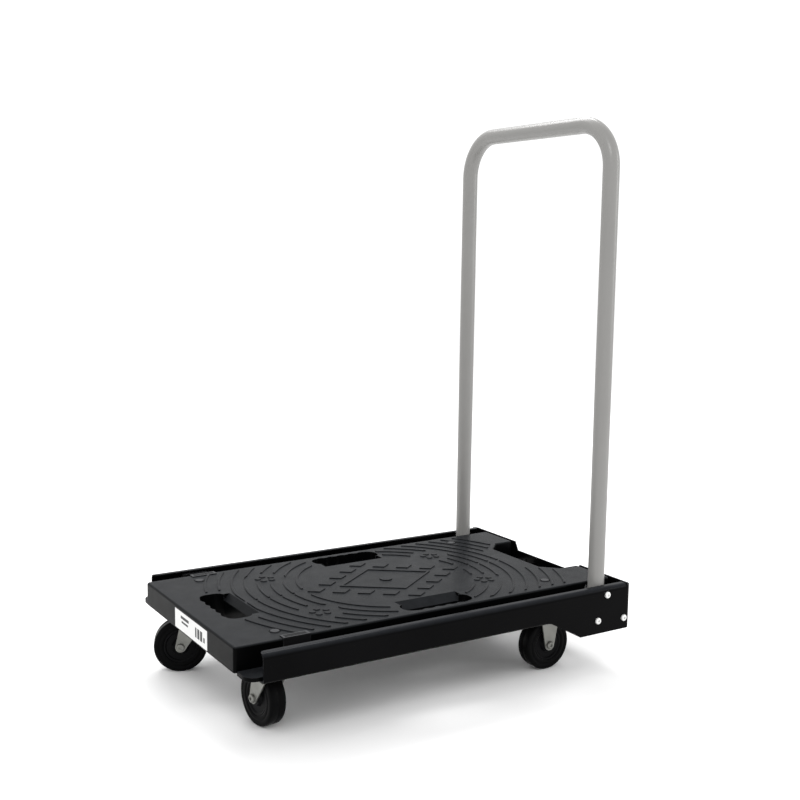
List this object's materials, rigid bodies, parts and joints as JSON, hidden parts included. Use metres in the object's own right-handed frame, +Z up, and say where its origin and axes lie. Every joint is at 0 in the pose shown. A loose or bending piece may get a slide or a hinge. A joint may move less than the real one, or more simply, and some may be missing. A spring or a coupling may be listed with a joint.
{
  "type": "folding platform cart",
  "caption": "Hand cart with a moulded platform on two swivel and two rigid casters, and a tube handle that folds flat into side slots.",
  "frame": {"origin": "on the floor under the middle of the platform", "axes": "+Z up, +X from the front edge towards the handle, +Y to the right-hand side as seen by the person pushing"},
  "size_m": [0.64, 0.4124, 0.8395],
  "materials": {
    "deck_plastic": "charcoal moulded polypropylene with a fine matte texture",
    "rail_paint": "black semi-gloss powder coat",
    "handle_paint": "light warm grey semi-gloss powder coat",
    "caster_zinc": "bright zinc plate",
    "fastener_zinc": "bright zinc plate",
    "spring_steel": "oiled spring steel",
    "tyre_rubber": "black rubber",
    "tread_rubber": "black ribbed rubber",
    "wheel_plastic": "black moulded plastic",
    "plug_plastic": "black moulded plastic",
    "nylon": "black nylon",
    "label": "white printed film"
  },
  "bodies": {
    "platform": {"deck": "deck_plastic", "grip_relief": "deck_plastic", "deck_ledge_left": "deck_plastic", "deck_ledge_right": "deck_plastic", "rating_label": "label", "deck_plugs": "plug_plastic", "side_rail_left": "rail_paint", "side_rail_right": "rail_paint", "rear_crossbar": "rail_paint", "handle_catch_left": "plug_plastic", "handle_catch_right": "plug_plastic", "catch_screws": "fastener_zinc", "rail_screws": "fastener_zinc", "rear_screws": "fastener_zinc", "frame_bolts": "fastener_zinc", "frame_nuts": "fastener_zinc", "pivot_spacers": "nylon", "pivot_washers": "nylon", "stop_bushes": "caster_zinc", "caster_bolts": "fastener_zinc", "swivel_plate_front_left": "caster_zinc", "kingpin_front_left": "caster_zinc", "swivel_plate_front_right": "caster_zinc", "kingpin_front_right": "caster_zinc", "rigid_fork_rear_left": "caster_zinc", "axle_sleeve_rear_left": "caster_zinc", "axle_bolt_rear_left": "caster_zinc", "axle_nut_rear_left": "fastener_zinc", "rigid_fork_rear_right": "caster_zinc", "axle_sleeve_rear_right": "caster_zinc", "axle_bolt_rear_right": "caster_zinc", "axle_nut_rear_right": "fastener_zinc"},
    "handle": {"handle_tube": "handle_paint", "pivot_sleeves": "caster_zinc", "tube_plugs": "plug_plastic"},
    "pedal": {"pedal_shaft": "rail_paint", "latch_arm_left": "rail_paint", "latch_arm_right": "rail_paint", "foot_pedal": "rail_paint", "pedal_tread": "tread_rubber", "pedal_springs": "spring_steel"},
    "swivel_front_left": {"swivel_fork_front_left": "caster_zinc", "swivel_balls_front_left": "spring_steel", "axle_sleeve_front_left": "caster_zinc", "axle_bolt_front_left": "caster_zinc", "axle_nut_front_left": "fastener_zinc"},
    "swivel_front_right": {"swivel_fork_front_right": "caster_zinc", "swivel_balls_front_right": "spring_steel", "axle_sleeve_front_right": "caster_zinc", "axle_bolt_front_right": "caster_zinc", "axle_nut_front_right": "fastener_zinc"},
    "wheel_front_left": {"wheel_core_front_left": "wheel_plastic", "tyre_front_left": "tyre_rubber"},
    "wheel_front_right": {"wheel_core_front_right": "wheel_plastic", "tyre_front_right": "tyre_rubber"},
    "wheel_rear_left": {"wheel_core_rear_left": "wheel_plastic", "tyre_rear_left": "tyre_rubber"},
    "wheel_rear_right": {"wheel_core_rear_right": "wheel_plastic", "tyre_rear_right": "tyre_rubber"}
  },
  "joints": [
    {"name": "handle_fold", "type": "hinge", "parent": "platform", "child": "handle", "pos_m": [0.2714, 0, 0.1266], "axis": [0, -1, 0], "range_deg": [0, 90]},
    {"name": "pedal_press", "type": "hinge", "parent": "platform", "child": "pedal", "pos_m": [0.306, 0, 0.0856], "axis": [0, -1, 0], "range_deg": [0, 12], "stiffness_Nm_per_rad": 1.5, "springref_deg": -11.46},
    {"name": "swivel_front_left", "type": "hinge", "parent": "platform", "child": "swivel_front_left", "pos_m": [-0.248, -0.131, 0.09], "axis": [0, 0, 1], "continuous": true},
    {"name": "swivel_front_right", "type": "hinge", "parent": "platform", "child": "swivel_front_right", "pos_m": [-0.248, 0.131, 0.09], "axis": [0, 0, 1], "continuous": true},
    {"name": "wheel_front_left", "type": "hinge", "parent": "swivel_front_left", "child": "wheel_front_left", "pos_m": [-0.25143, -0.1022, 0.04], "axis": [-0.993, -0.1184, 0], "continuous": true},
    {"name": "wheel_front_right", "type": "hinge", "parent": "swivel_front_right", "child": "wheel_front_right", "pos_m": [-0.27483, 0.142, 0.04], "axis": [-0.3795, -0.9252, 0], "continuous": true},
    {"name": "wheel_rear_left", "type": "hinge", "parent": "platform", "child": "wheel_rear_left", "pos_m": [0.212, -0.127, 0.04], "axis": [0, 1, 0], "continuous": true},
    {"name": "wheel_rear_right", "type": "hinge", "parent": "platform", "child": "wheel_rear_right", "pos_m": [0.212, 0.127, 0.04], "axis": [0, 1, 0], "continuous": true}
  ]
}
